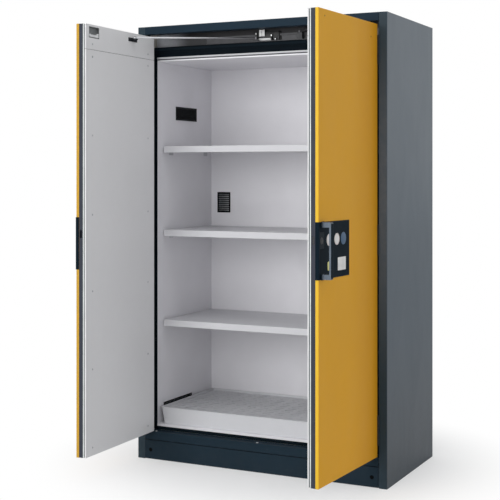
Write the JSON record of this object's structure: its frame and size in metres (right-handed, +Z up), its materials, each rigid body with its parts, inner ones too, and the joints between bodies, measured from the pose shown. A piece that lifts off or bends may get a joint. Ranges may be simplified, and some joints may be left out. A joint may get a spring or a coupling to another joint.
{
  "type": "flammable storage cabinet",
  "caption": "Free-standing fire-rated safety cabinet with wing doors on stays, light-grey shelves, sump tray with grate, roof air spigots and a dark plinth.",
  "frame": {"origin": "centre of the footprint on the floor, in the plane of the transport base's underside", "axes": "+X to the right seen from the front, +Y towards the rear wall, +Z up; the doors open towards -Y"},
  "size_m": [1.193, 1.1722, 2.003],
  "materials": {
    "black_frame": "black coated board",
    "casing_paint": "fine textured powder coat, anthracite grey",
    "dark_foil": "dark edge foil",
    "dark_steel": "black phosphate",
    "door_inner": "light grey powder coat",
    "door_yellow": "smooth powder coat, golden yellow",
    "duct_steel": "galvanised sheet",
    "fire_board": "calcium silicate fire board",
    "grille_black": "black moulded",
    "handle_metal": "satin",
    "liner_grey": "light grey laminate on board",
    "panel_plastic": "fine-grained moulded plastic",
    "rail_metal": "brown-grey rolled steel",
    "roller_white": "white acetal",
    "seal_black": "intumescent strip",
    "seal_light": "light sealing bead",
    "shelf_grey": "light grey powder coat",
    "zinc_steel": "bright zinc plate"
  },
  "bodies": {
    "casing": {"air_ducts": "duct_steel", "air_grilles": "grille_black", "base_frame": "casing_paint", "casing_screws": "zinc_steel", "ceiling_trim": "shelf_grey", "frame_seals": "seal_black", "front_fascia": "casing_paint", "hinge_frame_leaves": "zinc_steel", "hinge_pins": "zinc_steel", "insulation_boards": "fire_board", "liner_boards": "liner_grey", "lintel_rail": "rail_metal", "lintel_tray": "rail_metal", "plinth_cover": "casing_paint", "plinth_plugs": "grille_black", "rear_panel": "casing_paint", "rebate_frame": "black_frame", "roof_panel": "casing_paint", "roof_spigots": "duct_steel", "selector_bracket": "dark_steel", "shelf_supports": "shelf_grey", "shelves": "shelf_grey", "side_panel_left": "casing_paint", "side_panel_right": "casing_paint", "sill_cover": "casing_paint", "sump_tray": "shelf_grey", "tray_grate": "shelf_grey"},
    "left_door": {"left_control_panel": "panel_plastic", "left_door_core": "dark_foil", "left_door_fittings": "zinc_steel", "left_door_screws": "zinc_steel", "left_door_skin": "door_yellow", "left_edge_bead": "seal_light", "left_hinge_leaves": "zinc_steel", "left_inner_plates": "door_inner"},
    "right_door": {"lock_module": "panel_plastic", "pull_handle": "handle_metal", "right_control_panel": "panel_plastic", "right_door_core": "dark_foil", "right_door_fittings": "zinc_steel", "right_door_screws": "zinc_steel", "right_door_skin": "door_yellow", "right_edge_bead": "seal_light", "right_hinge_leaves": "zinc_steel", "right_inner_plates": "door_inner"},
    "stay_rod_left": {"stay_rod_left": "zinc_steel"},
    "stay_rod_right": {"stay_rod_right": "zinc_steel"},
    "stay_slider_left": {"stay_slider_left": "dark_steel"},
    "stay_slider_right": {"stay_slider_right": "dark_steel"},
    "left_catch": {"left_catch_lever": "zinc_steel"},
    "right_catch": {"right_catch_lever": "zinc_steel"},
    "lock_cylinder": {"lock_rotor": "zinc_steel"},
    "lock_bolt": {"lock_bolt": "zinc_steel"},
    "damper_exhaust": {"damper_flap_exhaust": "duct_steel"},
    "damper_supply": {"damper_flap_supply": "duct_steel"},
    "selector_roller": {"selector_roller": "roller_white"},
    "foot_front_left": {"levelling_foot_front_left": "zinc_steel"},
    "foot_front_right": {"levelling_foot_front_right": "zinc_steel"},
    "foot_rear_left": {"levelling_foot_rear_left": "zinc_steel"},
    "foot_rear_right": {"levelling_foot_rear_right": "zinc_steel"}
  },
  "joints": [
    {"name": "left_door_hinge", "type": "hinge", "parent": "casing", "child": "left_door", "pos_m": [-0.5575, -0.309, 1], "axis": [0, 0, -1], "range_deg": [-89, 0]},
    {"name": "right_door_hinge", "type": "hinge", "parent": "casing", "child": "right_door", "pos_m": [0.5575, -0.309, 1], "axis": [0, 0, 1], "range_deg": [-87.2, 0]},
    {"name": "stay_rod_left_pivot", "type": "hinge", "parent": "left_door", "child": "stay_rod_left", "pos_m": [-0.49474, -0.49543, 1.882], "axis": [0, 0, -1], "range_deg": [0, 117.38]},
    {"name": "stay_slider_left_travel", "type": "slide", "parent": "casing", "child": "stay_slider_left", "axis": [1, 0, 0], "range_m": [0, 0.19074]},
    {"name": "left_catch_lift", "type": "hinge", "parent": "left_door", "child": "left_catch", "pos_m": [-0.50692, -0.8287, 1.858], "axis": [0.9998, 0.0175, 0], "range_deg": [0, 12]},
    {"name": "stay_rod_right_pivot", "type": "hinge", "parent": "right_door", "child": "stay_rod_right", "pos_m": [0.48891, -0.49337, 1.902], "axis": [0, 0, 1], "range_deg": [0, 124.72]},
    {"name": "stay_slider_right_travel", "type": "slide", "parent": "casing", "child": "stay_slider_right", "axis": [-1, 0, 0], "range_m": [0, 0.21395]},
    {"name": "right_catch_lift", "type": "hinge", "parent": "right_door", "child": "right_catch", "pos_m": [0.49062, -0.82685, 1.858], "axis": [0.9988, -0.0489, 0], "range_deg": [0, 12]},
    {"name": "lock_turn", "type": "hinge", "parent": "right_door", "child": "lock_cylinder", "pos_m": [0.52975, -0.84579, 1.043], "axis": [-0.9988, 0.0489, 0], "range_deg": [0, 90.5]},
    {"name": "lock_bolt_travel", "type": "slide", "parent": "right_door", "child": "lock_bolt", "axis": [-0.0489, -0.9988, 0], "range_m": [0, 0.012]},
    {"name": "damper_exhaust_swing", "type": "hinge", "parent": "casing", "child": "damper_exhaust", "pos_m": [-0.47, 0.192, 1.962], "axis": [1, 0, 0], "range_deg": [0, 90]},
    {"name": "damper_supply_swing", "type": "hinge", "parent": "casing", "child": "damper_supply", "pos_m": [-0.29, 0.192, 1.962], "axis": [1, 0, 0], "range_deg": [0, 90]},
    {"name": "selector_roller_spin", "type": "hinge", "parent": "casing", "child": "selector_roller", "pos_m": [0.0015, -0.2186, 1.878], "axis": [1, 0, 0], "continuous": true},
    {"name": "foot_front_left_turn", "type": "hinge", "parent": "casing", "child": "foot_front_left", "pos_m": [-0.54, -0.226, 0.04], "axis": [0, 0, 1], "continuous": true},
    {"name": "foot_front_right_turn", "type": "hinge", "parent": "casing", "child": "foot_front_right", "pos_m": [0.54, -0.226, 0.04], "axis": [0, 0, 1], "continuous": true},
    {"name": "foot_rear_left_turn", "type": "hinge", "parent": "casing", "child": "foot_rear_left", "pos_m": [-0.54, 0.262, 0.04], "axis": [0, 0, 1], "continuous": true},
    {"name": "foot_rear_right_turn", "type": "hinge", "parent": "casing", "child": "foot_rear_right", "pos_m": [0.54, 0.262, 0.04], "axis": [0, 0, 1], "continuous": true}
  ],
  "couplings": [
    {"joint": "stay_rod_left_pivot", "follows": "left_door_hinge", "ratio": -1.3132},
    {"joint": "stay_slider_left_travel", "follows": "left_door_hinge", "m_per_rad": -0.12247},
    {"joint": "stay_rod_right_pivot", "follows": "right_door_hinge", "ratio": -1.4246},
    {"joint": "stay_slider_right_travel", "follows": "right_door_hinge", "m_per_rad": -0.14025},
    {"joint": "lock_turn", "follows": "lock_bolt_travel", "rad_per_m": 130.9}
  ]
}
